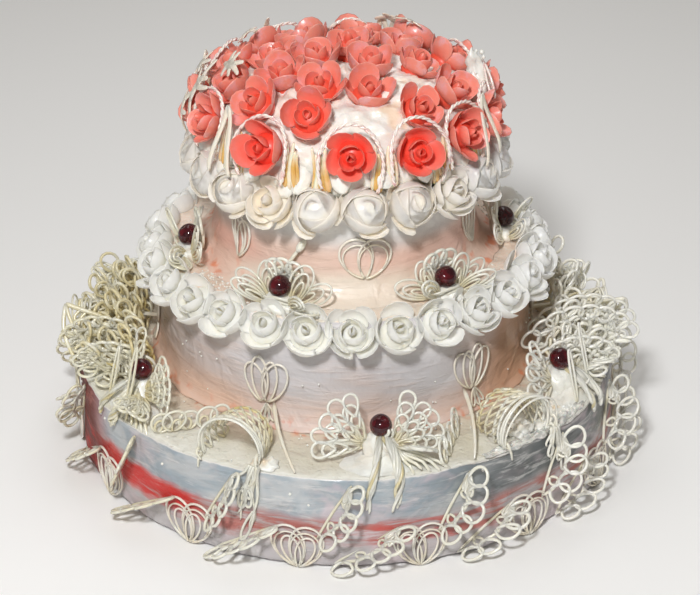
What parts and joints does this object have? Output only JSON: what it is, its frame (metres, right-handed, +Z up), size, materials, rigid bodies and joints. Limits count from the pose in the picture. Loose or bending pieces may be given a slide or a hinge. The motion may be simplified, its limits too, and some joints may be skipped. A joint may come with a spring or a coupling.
{
  "type": "three-tier cake",
  "caption": "Round tiered cake, stepped, with garlands of white roses on the rims, a domed crown of coral roses, upright lace fans and arches on the ledges, and cherries.",
  "frame": {"origin": "centre of the cake's underside, on the middle and top tiers' axis", "axes": "+Z up, -Y towards the front of the cake, +X to the right seen from the front"},
  "size_m": [0.5248, 0.526, 0.3633],
  "materials": {
    "icing": "satin whipped cream icing, airbrushed pink over white",
    "white_roses": "ivory cream roses with a pearly sheen",
    "coral_roses": "coral cream roses with a pearly sheen",
    "cherry": "dark glazed fruit",
    "cream_and_lace": "white cream and ivory chocolate lace",
    "lace": "ivory chocolate lace"
  },
  "bodies": {
    "root": {"tier_bottom": "icing", "tier_middle": "icing", "tier_top": "icing", "rose_garland_lower": "white_roses", "rose_garland_upper": "white_roses", "crown_of_roses": "coral_roses", "cherry_lower_1": "cherry", "cherry_lower_2": "cherry", "cherry_lower_3": "cherry", "cherry_lower_4": "cherry", "cherry_lower_5": "cherry", "cherry_lower_6": "cherry", "cherry_upper_1": "cherry", "cherry_upper_2": "cherry", "cherry_upper_3": "cherry", "cherry_upper_4": "cherry", "cherry_upper_5": "cherry", "cherry_upper_6": "cherry", "cream_fan_lower_1": "cream_and_lace", "cream_fan_lower_2": "cream_and_lace", "cream_fan_lower_3": "cream_and_lace", "cream_fan_lower_4": "cream_and_lace", "cream_fan_lower_5": "cream_and_lace", "cream_fan_lower_6": "cream_and_lace", "cream_fan_upper_1": "cream_and_lace", "cream_fan_upper_2": "cream_and_lace", "cream_fan_upper_3": "cream_and_lace", "cream_fan_upper_4": "cream_and_lace", "cream_fan_upper_5": "cream_and_lace", "cream_fan_upper_6": "cream_and_lace", "lace_arch_1": "lace", "lace_arch_2": "lace", "lace_arch_3": "lace", "lace_arch_4": "lace", "lace_arch_5": "lace", "lace_arch_6": "lace", "side_lace_01": "lace", "side_lace_02": "lace", "side_lace_03": "lace", "side_lace_04": "lace", "side_lace_05": "lace", "side_lace_06": "lace", "side_lace_07": "lace", "side_lace_08": "lace", "side_lace_09": "lace", "side_lace_10": "lace", "side_lace_11": "lace", "side_lace_12": "lace", "side_lace_13": "lace", "side_lace_14": "lace", "side_lace_15": "lace"}
  },
  "joints": []
}
